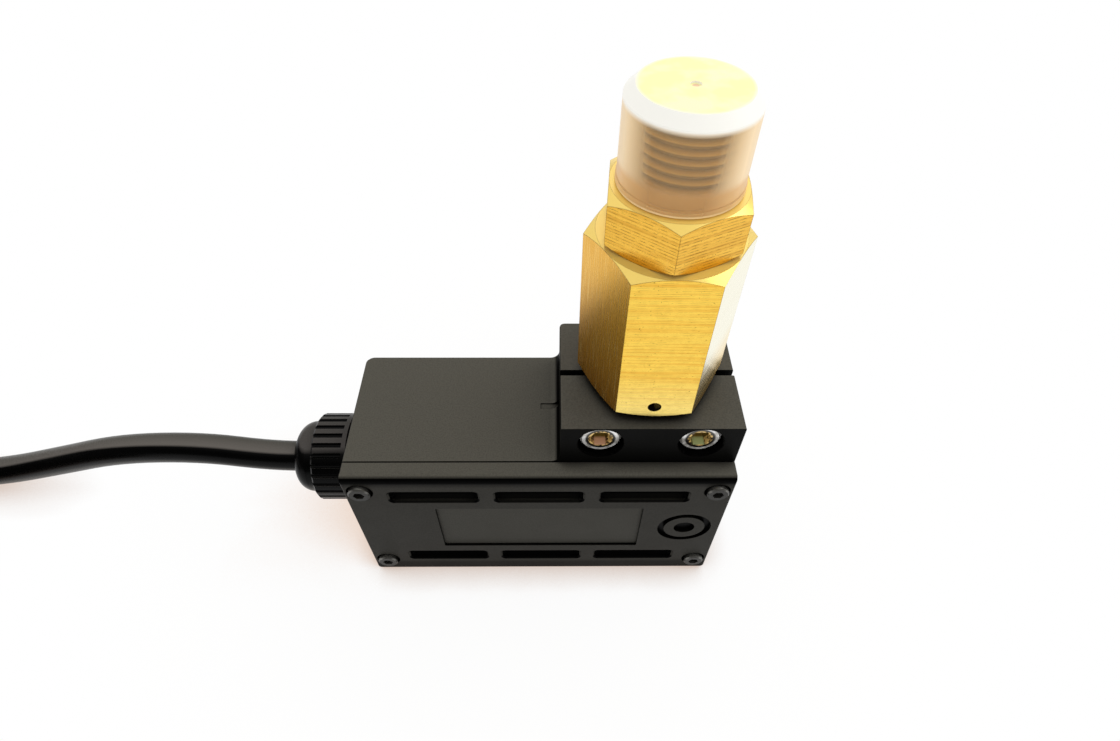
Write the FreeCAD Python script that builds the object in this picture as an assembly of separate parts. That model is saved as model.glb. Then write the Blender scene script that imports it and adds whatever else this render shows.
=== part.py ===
import FreeCAD, Part
import math
import os

# Pump pressure sensor: a spring-loaded brass piston unit,
# held in the split clamp of a moulded switch housing.
# Millimetres, +Z up, the cover faces -Y. The origin is on the base, straight under the brass unit's axis.

V = FreeCAD.Vector
UP = V(0, 0, 1)
BACKWARDS = V(0, 1, 0)

# Edges and the reach of cutting tools beyond a face
edge_break = 0.5
small_break = 0.3
overrun = 1.0

# Housing
housing_length = 96.6
housing_depth = 34.0
housing_height = 50.0
wall = 3.0
outline_round = 0.4
bottom_round = 2.0
left_back_round = 2.4
clamp_back_round = 1.4
cavity_round = 2.0
clamp_width = 43.1
clamp_height = 13.5
clamp_foot_round = 2.5
clamp_top_round = 0.4
slit_width = 1.8
slit_sink = 0.25
slit_run_out = 5.0
boss_d = 8.0
boss_length = 14.0

# Front cover and its gasket
gasket_thickness = 0.4
gasket_inset = 0.6
cover_thickness = 4.8
cover_top_round = 2.4
cover_bottom_round = 0.5
cover_side_round = 0.4
cover_pocket_depth = 1.0
slot_length = 22.2
slot_height = 4.6
slot_depth = 2.0
slot_corner = 1.2
slot_lip = 0.45
slot_floor_bevel = 0.9
slot_pitch = 26.5
slot_row_offset = 16.4
slots_in_row = 3
label_length = 53.7
label_height = 21.2
label_depth = 0.8
label_corner = 0.5
ring_x = 12.1
ring_d = 14.4
ring_groove = 1.7
ring_hub_d = 5.6
ring_depth = 1.0

# Cover screws, M3 socket heads in brass inserts
m3_d = 3.0
m3_head_d = 5.5
m3_head_height = 3.0
m3_key = 2.5
m3_socket_depth = 1.5
m3_clearance = 0.2
m3_thread_gap = 0.05
cover_screw_length = 12.0
cover_screw_inset_x = 4.0
cover_screw_inset_z = 6.0
cover_counterbore_d = 6.6
cover_counterbore_depth = 1.9
insert_d = 4.2
insert_length = 6.0
pilot_spare = 2.0

# Clamp screws, M6 socket heads with hexagon nuts
m6_d = 6.0
m6_head_d = 10.0
m6_head_height = 6.0
m6_key = 5.0
m6_socket_depth = 3.2
m6_clearance = 0.2
m6_thread_gap = 0.1
head_edge_share = 0.06
m6_counterbore_d = 11.2
m6_nut_af = 10.0
m6_nut_height = 5.0
m6_nut_recess = 0.6
clamp_screw_length = 25.0
clamp_web = 0.75
clamp_seat_web = 1.55
clamp_screw_rise = 0.7

# Brass pressure body: hexagon, collar and clamped neck
neck_d = 16.0
neck_fit = 0.03
collar_d = 24.0
collar_height = 2.3
body_af = 30.0
body_height = 41.2
body_turn = -1.4
chamber_d = 20.0
chamber_floor = 1.7
vent_d = 3.0
vent_height = 3.3
hex_chamfer_angle = 30.0
neck_ring_d = 1.8
neck_ring_height = 2.0

# Brass inlet adapter with a G 1/2 pipe thread
adapter_af = 26.0
adapter_hex_height = 11.0
adapter_turn = 24.5
thread_d = 20.955
thread_length = 12.0
thread_chamfer = 1.3
relief_d = 18.3
relief_length = 4.5
spigot_d = 24.0
spigot_length = 14.0
spigot_fit = 0.03
inlet_d = 13.0
inlet_floor = 4.5
adapter_ring_d = 1.8

# Piston, its seals, spring and stem
piston_d = 10.0
piston_length = 18.0
piston_seating = 1.0
piston_fit = 0.03
piston_ring_d = 2.0
piston_ring_height = 7.0
backup_thickness = 1.2
seat_gap = 0.5
seat_thickness = 3.0
seat_spigot_gap = 1.4
seat_spigot_length = 4.0
stem_d = 5.0
stem_reach = 4.0
stem_seating = 5.0
stem_fit = 0.05
stem_hole_gap = 0.3
stem_seat_gap = 0.025
bush_d = 8.0
bush_length = 14.0
bush_recess = 0.6
spring_wire_d = 2.2
spring_side_gap = 0.9
spring_turns = 6
spring_gap = 0.05
stroke = 1.6

# Snap-action switch
switch_length = 27.8
switch_thickness = 10.3
switch_height = 15.9
switch_hole_dx = 22.2
switch_hole_dz = 10.3
plunger_offset = 3.6
plunger_d = 3.2
plunger_proud = 2.4
plunger_sunk = 4.6
plunger_fit = 0.06
plunger_spare = 0.4
switch_round = 1.0
post_d = 7.0
switch_screw_length = 16.0
blade_width = 6.3
blade_thickness = 0.8
blade_length = 6.5
blade_pitch = 10.0
sleeve_wall = 0.9
sleeve_length = 11.2
sleeve_gap = 0.5
sleeve_fit = 0.1
sleeve_round = 0.4

# Cable gland, M20 class
gland_height = 26.5
gland_thread_d = 20.0
gland_fit = 0.05
gland_washer_rim = 2.5
gland_washer_thickness = 1.0
gland_rim = 2.0
gland_hex_height = 3.0
gland_spigot_step = 0.8
gland_spigot_length = 6.5
gland_seal_wall = 2.3
gland_seal_sink = 6.4
gland_seal_gap = 0.5
gland_thread_bevel = 0.8
gland_inner_reach = 8.0
locknut_height = 4.0
nut_gap = 0.3
nut_collar = 1.5
nut_grip = 8.2
nut_rim = 0.25
nut_dome_step = 2.25
nut_dome_length = 2.4
nut_nose_length = 4.0
nut_flutes = 27
nut_flute_d = 1.3
nut_flute_turn = -6.5

# Cable, its coil and its stripped end
cable_d = 8.6
cable_mouth_gap = 0.4
bend_share = 0.45
cable_lead_out = 8.0
core_d = 2.4
core_circle = 1.6
core_gap = 0.3
sheath_reach = 2.75
lead_straight = 7.0
lead_drop = 13.0
lead_rise = 6.0
coil_centre_x = -250.0
coil_mean_d = 92.0
coil_layers = 2
coil_columns = 2
coil_lift = 1.3
tie_width = 8.0
tie_thickness = 1.0
tie_angle = 205.0
tail_start_angle = -80.0
tail_sweep = 195.0
end_core_length = 14.0
end_core_fan = 0.16
ferrule_collar_d = 3.0
ferrule_collar_length = 4.5
ferrule_pin_d = 1.5
ferrule_pin_length = 8.0

# Thread cap
cap_gap = 0.6
cap_wall = 0.7
cap_disc = 1.7
cap_bevel = 1.9
cap_inner_bevel = 0.9
cap_foot_gap = 0.3
cap_bead = 0.2
cap_bead_height = 1.2
cap_gate_d = 2.0
cap_gate_depth = 0.4

# Places that follow from the sizes
right = clamp_width / 2
left = right - housing_length
front = -housing_depth / 2
back = housing_depth / 2
clamp_top = housing_height + clamp_height
middle_x = (left + right) / 2
middle_z = housing_height / 2
cover_back = front - gasket_thickness
cover_front = cover_back - cover_thickness
neck_bottom = housing_height - wall
body_bottom = clamp_top + collar_height
body_top = body_bottom + body_height
chamber_bottom = body_bottom + chamber_floor
spigot_bottom = body_top - spigot_length
adapter_top = body_top + adapter_hex_height
thread_start = adapter_top + relief_length
thread_end = thread_start + thread_length
inlet_bottom = body_top + inlet_floor
seat_top = spigot_bottom
seat_bottom = seat_top - seat_thickness
piston_bottom = seat_top - piston_seating
stem_bottom = neck_bottom - stem_reach
seat_d = chamber_d - 2 * seat_gap
spring_mean_d = chamber_d - 2 * spring_side_gap - spring_wire_d
seat_spigot_d = spring_mean_d - spring_wire_d - 2 * seat_spigot_gap
switch_top = stem_bottom - plunger_proud
switch_bottom = switch_top - switch_height
switch_middle_x = -plunger_offset
switch_middle_z = (switch_top + switch_bottom) / 2
head_seat = -(neck_d / 2 + clamp_seat_web)
clamp_screw_x = neck_d / 2 + clamp_web + m6_d / 2 + m6_clearance
clamp_screw_places = (-clamp_screw_x, clamp_screw_x)
clamp_screw_z = housing_height + clamp_height / 2 + clamp_screw_rise
gland_washer_d = gland_thread_d + 2 * gland_washer_rim
gland_hex_af = gland_thread_d + 2 * gland_rim
gland_spigot_d = gland_thread_d - 2 * gland_spigot_step
gland_seal_d = cable_d + 2 * gland_seal_wall
nut_d = gland_hex_af + 2 * nut_rim
nut_dome_d = nut_d - 2 * nut_dome_step
cable_mouth = (gland_washer_thickness + gland_hex_height + nut_gap + nut_collar + nut_grip
               + nut_dome_length + nut_nose_length)
coil_bottom = coil_lift
coil_top = coil_lift + coil_layers * cable_d
coil_inner = coil_mean_d / 2 - coil_columns * cable_d / 2
coil_outer = coil_mean_d / 2 + coil_columns * cable_d / 2

# The free run of the cable: out of the gland, down to the surface and up to the coil
cable_start = left - cable_mouth
cable_route = [
    (cable_start, 0.0, gland_height),
    (cable_start - cable_lead_out, 0.0, gland_height),
    (-124.0, 1.2, 29.4),
    (-149.0, 3.0, 26.0),
    (-171.0, 4.8, 17.2),
    (-193.0, 6.0, 9.4),
    (-213.0, 6.6, 6.0),
    (-232.0, 6.3, coil_lift + cable_d / 2),
]
coil_centre_y = cable_route[-1][1] - (coil_outer - cable_d / 2)


def box(x0, x1, y0, y1, z0, z1):
    return Part.makeBox(x1 - x0, y1 - y0, z1 - z0, V(x0, y0, z0))


def rod(diameter, start, end):
    along = end.sub(start)
    return Part.makeCylinder(diameter / 2, along.Length, start, along)


def rod_z(diameter, z0, z1, x=0.0, y=0.0):
    return rod(diameter, V(x, y, z0), V(x, y, z1))


def rod_y(diameter, y0, y1, x, z):
    return rod(diameter, V(x, y0, z), V(x, y1, z))


def turned(profile):
    """Solid of revolution about Z from a closed outline of (radius, height) points."""
    points = [V(radius, 0, height) for radius, height in profile]
    outline = Part.makePolygon(points + points[:1])
    return Part.Face(outline).revolve(V(0, 0, 0), UP, 360)


def ring(major_d, section_d, height):
    """Round-section ring about Z, its section centred at the given height."""
    return Part.makeTorus(major_d / 2, section_d / 2, V(0, 0, height), UP)


def hexagon(across_flats, z0, z1, turn=0.0):
    """Hexagonal prism about Z with a flat towards -Y, turned by some degrees."""
    radius = across_flats / math.sqrt(3)
    angles = [math.radians(turn + 60 * corner) for corner in range(7)]
    points = [V(radius * math.cos(angle), radius * math.sin(angle), z0) for angle in angles]
    return Part.Face(Part.makePolygon(points)).extrude(V(0, 0, z1 - z0))


def chamfered_hexagon(across_flats, z0, z1, turn):
    """Hexagon whose corners are turned off to a cone at both ends."""
    flat_radius = across_flats / 2
    corner_radius = across_flats / math.sqrt(3)
    drop = (corner_radius - flat_radius) * math.tan(math.radians(hex_chamfer_angle))
    barrel = turned([(0, z0), (flat_radius, z0), (corner_radius, z0 + drop),
                     (corner_radius, z1 - drop), (flat_radius, z1), (0, z1)])
    return hexagon(across_flats, z0, z1, turn).common(barrel)


def rounded_outline(corners, place):
    """Closed wire through (a, b, radius) corners, with each corner rounded; place makes a 3-D point."""
    edges = []
    entries = []
    exits = []
    middles = []
    count = len(corners)
    for index in range(count):
        here = V(corners[index][0], corners[index][1], 0)
        before = V(*corners[index - 1][:2], 0).sub(here)
        after = V(*corners[(index + 1) % count][:2], 0).sub(here)
        before.normalize()
        after.normalize()
        radius = corners[index][2]
        half = before.getAngle(after) / 2
        inset = radius / math.tan(half)
        bisector = before.add(after)
        bisector.normalize()
        entries.append(here.add(before.multiply(inset)))
        exits.append(here.add(after.multiply(inset)))
        middles.append(here.add(bisector.multiply(radius / math.sin(half) - radius)))
    for index in range(count):
        if corners[index][2] > 0:
            arc_points = [place(p.x, p.y) for p in (entries[index], middles[index], exits[index])]
            edges.append(Part.Arc(*arc_points).toShape())
        start = exits[index]
        end = entries[(index + 1) % count]
        edges.append(Part.LineSegment(place(start.x, start.y), place(end.x, end.y)).toShape())
    return Part.Wire(edges)


def rounded_rectangle(width, height, radius, x, z, y):
    """Upright rounded rectangle wire in the plane of the given y, centred on x and z."""
    a0, a1 = x - width / 2, x + width / 2
    b0, b1 = z - height / 2, z + height / 2
    corners = [(a0, b0, radius), (a1, b0, radius), (a1, b1, radius), (a0, b1, radius)]
    return rounded_outline(corners, lambda a, b: V(a, y, b))


def slab(wire, thickness):
    return Part.Face(wire).extrude(V(0, thickness, 0))


def joined(shapes):
    return shapes[0].fuse(shapes[1:]).removeSplitter()


def corner_screw_places():
    xs = (left + cover_screw_inset_x, right - cover_screw_inset_x)
    zs = (cover_screw_inset_z, housing_height - cover_screw_inset_z)
    return [(x, z) for x in xs for z in zs]


def switch_screw_places():
    dx, dz = switch_hole_dx / 2, switch_hole_dz / 2
    return [(switch_middle_x - dx, switch_middle_z - dz), (switch_middle_x + dx, switch_middle_z + dz)]


def blade_places():
    return [switch_middle_x + blade_pitch * step for step in (-1, 0, 1)]


def socket_screw(diameter, head_d, head_height, key, socket_depth, length):
    """Socket-head screw with its head's top at the origin and its shank towards +Z."""
    head_edge = head_edge_share * head_d
    head = turned([(0, 0), (head_d / 2 - head_edge, 0), (head_d / 2, head_edge), (head_d / 2, head_height),
                   (diameter / 2, head_height), (diameter / 2, head_height + length),
                   (0, head_height + length)])
    return head.cut(hexagon(key, -overrun, socket_depth))


def laid_along_y(shape, x, y, z):
    """Turns a piece made along +Z so that it points along +Y, and sets it in place."""
    placed = shape.copy()
    placed.rotate(V(0, 0, 0), V(1, 0, 0), -90)
    placed.translate(V(x, y, z))
    return placed


def outwards_at_gland(shape):
    """Turns a piece made along +Z so that it points out of the left wall, on the gland's axis."""
    placed = shape.copy()
    placed.rotate(V(0, 0, 0), BACKWARDS, -90)
    placed.translate(V(left, 0, gland_height))
    return placed


def round_path(points):
    """Straight runs joined by the largest tangent arcs that the runs allow, and the arcs' radii."""
    knots = [V(*point) for point in points]
    edges = []
    radii = []
    start = knots[0]
    for index in range(1, len(knots) - 1):
        into = knots[index - 1].sub(knots[index])
        out = knots[index + 1].sub(knots[index])
        inset = bend_share * min(into.Length, out.Length)
        into.normalize()
        out.normalize()
        half = into.getAngle(out) / 2
        radius = inset * math.tan(half)
        bisector = into.add(out)
        bisector.normalize()
        entry = knots[index].add(V(into).multiply(inset))
        leave = knots[index].add(V(out).multiply(inset))
        middle = knots[index].add(bisector.multiply(radius / math.sin(half) - radius))
        edges.append(Part.LineSegment(start, entry).toShape())
        edges.append(Part.Arc(entry, middle, leave).toShape())
        radii.append(radius)
        start = leave
    edges.append(Part.LineSegment(start, knots[-1]).toShape())
    return Part.Wire(edges), radii


def tube_along(points, diameter):
    """Round cord along a route, and the radii of its bends."""
    path, radii = round_path(points)
    first = V(*points[1]).sub(V(*points[0]))
    section = Part.Wire(Part.makeCircle(diameter / 2, V(*points[0]), first))
    return path.makePipeShell([section], True, False), path, radii


def back_corner_tool(x, side, radius, bottom, top):
    """Tool that rounds an upright back edge; side is -1 for a left edge and 1 for a right one."""
    axis_x = x - side * radius
    axis_y = back - radius
    reach = x + side * overrun
    corner = box(min(axis_x, reach), max(axis_x, reach), axis_y, back + overrun, bottom, top)
    return corner.cut(rod_z(2 * radius, bottom, top, axis_x, axis_y))


def make_housing():
    corners = [(left, 0, bottom_round), (right, 0, bottom_round), (right, clamp_top, clamp_top_round),
               (-right, clamp_top, clamp_top_round), (-right, housing_height, clamp_foot_round),
               (left, housing_height, outline_round)]
    silhouette = rounded_outline(corners, lambda a, b: V(a, front, b))
    shell = slab(silhouette, housing_depth)
    shell = shell.cut([
        back_corner_tool(left, -1, left_back_round, 0, housing_height),
        back_corner_tool(-right, -1, clamp_back_round, housing_height + clamp_foot_round, clamp_top),
        back_corner_tool(right, 1, clamp_back_round, 0, clamp_top)])
    cavity_outline = rounded_rectangle(housing_length - 2 * wall, housing_height - 2 * wall, cavity_round,
                                       middle_x, middle_z, front)
    outer = shell.copy()
    shell = shell.cut(slab(cavity_outline, housing_depth - wall))
    bosses = [rod_y(boss_d, front, front + boss_length, x, z) for x, z in corner_screw_places()]
    posts = [rod_y(post_d, switch_thickness / 2, back - wall / 2, x, z) for x, z in switch_screw_places()]
    shell = joined([shell] + [piece.common(outer) for piece in bosses + posts])
    plate_and_gasket = cover_thickness + gasket_thickness
    pilot_depth = cover_screw_length + cover_counterbore_depth - plate_and_gasket + pilot_spare
    cuts = [rod_z(neck_d + 2 * neck_fit, neck_bottom - overrun, clamp_top + overrun)]
    half_slit = slit_width / 2
    cuts.append(box(-right, right + overrun, -half_slit, half_slit, housing_height, clamp_top + overrun))
    cuts.append(box(-right - slit_run_out, -right, -half_slit, half_slit,
                    housing_height - slit_sink, clamp_top + overrun))
    for x, z in corner_screw_places():
        cuts.append(rod_y(insert_d, front - overrun, front + insert_length, x, z))
        cuts.append(rod_y(m3_d + m3_clearance, front, front + pilot_depth, x, z))
    for x, z in switch_screw_places():
        reach = switch_screw_length - switch_thickness / 2
        cuts.append(rod_y(m3_d + m3_thread_gap, 0, reach, x, z))
    for x in clamp_screw_places:
        cuts.append(rod_y(m6_d + 2 * m6_clearance, front - overrun, back + overrun, x, clamp_screw_z))
        cuts.append(rod_y(m6_counterbore_d, front - overrun, head_seat, x, clamp_screw_z))
        pocket = hexagon(m6_nut_af + 2 * m6_clearance, 0, m6_nut_height + m6_nut_recess + overrun)
        cuts.append(laid_along_y(pocket, x, back - m6_nut_height - m6_nut_recess, clamp_screw_z))
    cuts.append(outwards_at_gland(rod_z(gland_thread_d + 2 * gland_fit, -wall - overrun, overrun)))
    return shell.cut(cuts)


def make_cover_gasket():
    outline = rounded_rectangle(housing_length - 2 * gasket_inset, housing_height - 2 * gasket_inset,
                                outline_round, middle_x, middle_z, cover_back)
    sheet = slab(outline, gasket_thickness)
    opening = rounded_rectangle(housing_length - 2 * wall, housing_height - 2 * wall, cavity_round,
                                middle_x, middle_z, cover_back - overrun)
    frame = sheet.cut(slab(opening, gasket_thickness + 2 * overrun))
    ears = [rod_y(boss_d, cover_back, front, x, z).common(sheet) for x, z in corner_screw_places()]
    hole_d = m3_d + 2 * m3_clearance
    holes = [rod_y(hole_d, cover_back - overrun, front + overrun, x, z) for x, z in corner_screw_places()]
    return joined([frame] + ears).cut(holes)


def slot_cutter(x, z):
    """Tool for one blind slot: bevelled lip, straight walls and a bevelled floor."""
    steps = [(-overrun, slot_lip + overrun), (slot_lip, 0.0), (slot_depth - slot_floor_bevel, 0.0),
             (slot_depth, -slot_floor_bevel)]
    wires = []
    for depth, spread in steps:
        wires.append(rounded_rectangle(slot_length + 2 * spread, slot_height + 2 * spread,
                                       slot_corner + spread, x, z, cover_front + depth))
    return Part.makeLoft(wires, True, True)


def make_front_cover():
    top = housing_height
    front_view = rounded_outline([(left, 0, bottom_round), (right, 0, bottom_round),
                                  (right, top, outline_round), (left, top, outline_round)],
                                 lambda a, b: V(a, cover_front, b))
    side_view = rounded_outline([(cover_front, 0, cover_bottom_round), (cover_back, 0, 0),
                                 (cover_back, top, 0), (cover_front, top, cover_top_round)],
                                lambda a, b: V(left, a, b))
    top_view = rounded_outline([(left, cover_front, cover_side_round),
                                (right, cover_front, cover_side_round),
                                (right, cover_back, 0), (left, cover_back, 0)],
                               lambda a, b: V(a, b, 0))
    plate = slab(front_view, cover_thickness)
    plate = plate.common(Part.Face(side_view).extrude(V(housing_length, 0, 0)))
    plate = plate.common(Part.Face(top_view).extrude(V(0, 0, top)))
    cuts = []
    first = middle_x - slot_pitch * (slots_in_row - 1) / 2
    for row in (-slot_row_offset, slot_row_offset):
        for column in range(slots_in_row):
            cuts.append(slot_cutter(first + column * slot_pitch, middle_z + row))
    label = rounded_rectangle(label_length, label_height, label_corner, middle_x, middle_z,
                              cover_front - overrun)
    cuts.append(slab(label, label_depth + overrun))
    ring_tools = []
    for diameter in (ring_d, ring_d - 2 * ring_groove, ring_hub_d):
        ring_tools.append(rod_y(diameter, cover_front - overrun, cover_front + ring_depth,
                                ring_x, middle_z))
    cuts.append(ring_tools[0].cut(ring_tools[1]))
    cuts.append(ring_tools[2])
    for x, z in corner_screw_places():
        cuts.append(rod_y(cover_counterbore_d, cover_front - overrun,
                          cover_front + cover_counterbore_depth, x, z))
        cuts.append(rod_y(m3_d + 2 * m3_clearance, cover_front, cover_back + overrun, x, z))
    margin = cover_screw_inset_x + boss_d / 2 + wall
    pocket = rounded_rectangle(housing_length - 2 * margin, housing_height - 4 * wall, cavity_round,
                               middle_x, middle_z, cover_back - cover_pocket_depth)
    cuts.append(slab(pocket, cover_pocket_depth + overrun))
    return plate.cut(cuts)


def make_cover_screws():
    screw = socket_screw(m3_d, m3_head_d, m3_head_height, m3_key, m3_socket_depth, cover_screw_length)
    head_top = cover_front + cover_counterbore_depth - m3_head_height
    return Part.Compound([laid_along_y(screw, x, head_top, z) for x, z in corner_screw_places()])


def make_cover_inserts():
    sleeves = []
    for x, z in corner_screw_places():
        sleeve = rod_y(insert_d, front, front + insert_length, x, z)
        thread = rod_y(m3_d + m3_thread_gap, front - overrun, front + insert_length + overrun, x, z)
        sleeves.append(sleeve.cut(thread))
    return Part.Compound(sleeves)


def make_clamp_screws():
    screw = socket_screw(m6_d, m6_head_d, m6_head_height, m6_key, m6_socket_depth, clamp_screw_length)
    head_top = head_seat - m6_head_height
    return Part.Compound([laid_along_y(screw, x, head_top, clamp_screw_z) for x in clamp_screw_places])


def make_clamp_nuts():
    nuts = []
    for x in clamp_screw_places:
        nut = chamfered_hexagon(m6_nut_af, 0, m6_nut_height, 0)
        nut = nut.cut(rod_z(m6_d + m6_thread_gap, -overrun, m6_nut_height + overrun))
        nuts.append(laid_along_y(nut, x, back - m6_nut_height - m6_nut_recess, clamp_screw_z))
    return Part.Compound(nuts)


def make_pressure_body():
    hexagon_part = chamfered_hexagon(body_af, body_bottom, body_top, body_turn)
    groove = neck_bottom + neck_ring_height
    neck_radius = neck_d / 2
    half_ring = neck_ring_d / 2
    neck = turned([(0, neck_bottom), (neck_radius - edge_break, neck_bottom),
                   (neck_radius, neck_bottom + edge_break), (neck_radius, groove - half_ring),
                   (neck_radius - neck_ring_d, groove - half_ring),
                   (neck_radius - neck_ring_d, groove + half_ring), (neck_radius, groove + half_ring),
                   (neck_radius, clamp_top), (collar_d / 2, clamp_top),
                   (collar_d / 2, body_bottom + edge_break), (0, body_bottom + edge_break)])
    body = joined([hexagon_part, neck])
    bush_top = neck_bottom + bush_recess + bush_length
    stem_hole = stem_d / 2 + stem_hole_gap
    socket = spigot_d / 2 + spigot_fit
    socket_floor = spigot_bottom - overrun
    bore = turned([(0, neck_bottom - overrun), (bush_d / 2, neck_bottom - overrun), (bush_d / 2, bush_top),
                   (stem_hole, bush_top), (stem_hole, chamber_bottom), (chamber_d / 2, chamber_bottom),
                   (chamber_d / 2, socket_floor), (socket, socket_floor),
                   (socket, body_top + overrun), (0, body_top + overrun)])
    vent = rod_y(vent_d, -body_af, 0, 0, body_bottom + vent_height)
    vent.rotate(V(0, 0, 0), UP, body_turn)
    return body.cut([bore, vent])


def make_neck_ring():
    return ring(neck_d - neck_ring_d, neck_ring_d, neck_bottom + neck_ring_height)


def make_inlet_adapter():
    hexagon_part = chamfered_hexagon(adapter_af, body_top, adapter_top, adapter_turn)
    root = adapter_top - overrun
    thread = turned([(0, root), (relief_d / 2, root), (relief_d / 2, thread_start),
                     (thread_d / 2, thread_start), (thread_d / 2, thread_end - thread_chamfer),
                     (thread_d / 2 - thread_chamfer, thread_end), (0, thread_end)])
    groove_radius = spigot_d / 2 - adapter_ring_d
    groove_bottom = body_top - adapter_ring_d
    spigot = turned([(0, spigot_bottom), (spigot_d / 2 - edge_break, spigot_bottom),
                     (spigot_d / 2, spigot_bottom + edge_break), (spigot_d / 2, groove_bottom),
                     (groove_radius, groove_bottom), (groove_radius, body_top + overrun),
                     (0, body_top + overrun)])
    adapter = joined([hexagon_part, thread, spigot])
    slide = piston_d / 2 + piston_fit
    ring_bottom = spigot_bottom + piston_ring_height
    ring_top = ring_bottom + piston_ring_d + backup_thickness
    mouth = inlet_d / 2 + edge_break
    bore = turned([(0, spigot_bottom - overrun), (slide, spigot_bottom - overrun), (slide, ring_bottom),
                   (slide + piston_ring_d, ring_bottom), (slide + piston_ring_d, ring_top),
                   (slide, ring_top), (slide, inlet_bottom), (inlet_d / 2, inlet_bottom),
                   (inlet_d / 2, thread_end - edge_break), (mouth, thread_end),
                   (mouth, thread_end + overrun), (0, thread_end + overrun)])
    return adapter.cut(bore)


def make_adapter_ring():
    return ring(spigot_d - adapter_ring_d, adapter_ring_d, body_top - adapter_ring_d / 2)


def make_piston():
    top = piston_bottom + piston_length
    return turned([(0, piston_bottom), (piston_d / 2, piston_bottom), (piston_d / 2, top - edge_break),
                   (piston_d / 2 - edge_break, top), (0, top)])


def make_piston_ring():
    centre = spigot_bottom + piston_ring_height + backup_thickness + piston_ring_d / 2
    return ring(piston_d + 2 * piston_fit + piston_ring_d, piston_ring_d, centre)


def make_backup_ring():
    bottom = spigot_bottom + piston_ring_height
    slide = piston_d / 2 + piston_fit
    return turned([(slide, bottom), (slide + piston_ring_d, bottom),
                   (slide + piston_ring_d, bottom + backup_thickness), (slide, bottom + backup_thickness)])


def make_spring_seat():
    socket = piston_d / 2 + piston_fit
    spigot_end = seat_bottom - seat_spigot_length
    nose = seat_spigot_d / 2
    seat = turned([(0, spigot_end), (nose - edge_break, spigot_end), (nose, spigot_end + edge_break),
                   (nose, seat_bottom), (seat_d / 2, seat_bottom), (seat_d / 2, seat_top - edge_break),
                   (seat_d / 2 - edge_break, seat_top), (socket, seat_top), (socket, piston_bottom),
                   (0, piston_bottom)])
    return seat.cut(rod_z(stem_d + stem_seat_gap, spigot_end - overrun, spigot_end + stem_seating))


def make_stem():
    top = seat_bottom - seat_spigot_length + stem_seating
    return turned([(0, stem_bottom), (stem_d / 2 - edge_break, stem_bottom),
                   (stem_d / 2, stem_bottom + edge_break), (stem_d / 2, top), (0, top)])


def make_stem_bush():
    bottom = neck_bottom + bush_recess
    inner = stem_d / 2 + stem_fit
    return turned([(inner, bottom), (bush_d / 2, bottom), (bush_d / 2, bottom + bush_length),
                   (inner, bottom + bush_length)])


def make_pressure_spring():
    wire_radius = spring_wire_d / 2
    start = chamber_bottom + wire_radius + spring_gap
    rise = seat_bottom - wire_radius - spring_gap - start
    helix = Part.makeHelix(rise / spring_turns, rise, spring_mean_d / 2)
    helix.translate(V(0, 0, start))
    section = Part.Wire(Part.makeCircle(wire_radius, V(spring_mean_d / 2, 0, start), BACKWARDS))
    return Part.Wire(helix.Edges).makePipeShell([section], True, True)


def make_thread_cap():
    inner = thread_d / 2 + cap_gap
    outer = inner + cap_wall
    foot = adapter_top + cap_foot_gap
    top = thread_end + cap_disc
    disc_radius = outer - cap_bevel
    cap = turned([(inner, foot), (outer + cap_bead, foot), (outer + cap_bead, foot + cap_bead_height),
                  (outer, foot + cap_bead_height + cap_bead), (outer, top - cap_bevel), (disc_radius, top),
                  (0, top), (0, thread_end), (inner - cap_inner_bevel, thread_end),
                  (inner, thread_end - cap_inner_bevel / 2)])
    return cap.cut(rod_z(cap_gate_d, top - cap_gate_depth, top + overrun))


def make_switch_case():
    half = switch_length / 2
    y0, y1 = -switch_thickness / 2, switch_thickness / 2
    case = box(switch_middle_x - half, switch_middle_x + half, y0, y1, switch_bottom, switch_top)
    upright = [e for e in case.Edges if abs(e.Vertexes[0].Y - e.Vertexes[1].Y) > 1]
    case = case.makeFillet(switch_round, upright)
    holes = [rod_y(m3_d + m3_clearance, y0 - overrun, y1 + overrun, x, z) for x, z in switch_screw_places()]
    well_floor = switch_top - plunger_sunk - stroke - plunger_spare
    well = rod_z(plunger_d + 2 * plunger_fit, well_floor, switch_top + overrun)
    return case.cut(holes + [well])


def make_switch_plunger():
    return rod_z(plunger_d, switch_top - plunger_sunk, stem_bottom)


def make_switch_blades():
    half_width, half_thickness = blade_width / 2, blade_thickness / 2
    blades = []
    for x in blade_places():
        blades.append(box(x - half_thickness, x + half_thickness, -half_width, half_width,
                          switch_bottom - blade_length, switch_bottom))
    return Part.Compound(blades)


def make_blade_sleeves():
    inner_t, inner_w = blade_thickness / 2 + sleeve_fit, blade_width / 2 + sleeve_fit
    outer_t, outer_w = inner_t + sleeve_wall, inner_w + sleeve_wall
    top = switch_bottom - sleeve_gap
    pocket_floor = switch_bottom - blade_length - sleeve_fit
    sleeves = []
    for x in blade_places():
        block = box(x - outer_t, x + outer_t, -outer_w, outer_w, top - sleeve_length, top)
        block = block.makeFillet(sleeve_round, block.Edges)
        pocket = box(x - inner_t, x + inner_t, -inner_w, inner_w, pocket_floor, top + overrun)
        sleeves.append(block.cut(pocket))
    return Part.Compound(sleeves)


def make_switch_screws():
    screw = socket_screw(m3_d, m3_head_d, m3_head_height, m3_key, m3_socket_depth, switch_screw_length)
    head_top = -switch_thickness / 2 - m3_head_height
    return Part.Compound([laid_along_y(screw, x, head_top, z) for x, z in switch_screw_places()])


def make_gland_washer():
    inner = gland_thread_d / 2 + gland_fit
    outer = gland_washer_d / 2
    return outwards_at_gland(turned([(inner, 0), (outer, 0), (outer, gland_washer_thickness),
                                     (inner, gland_washer_thickness)]))


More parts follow.
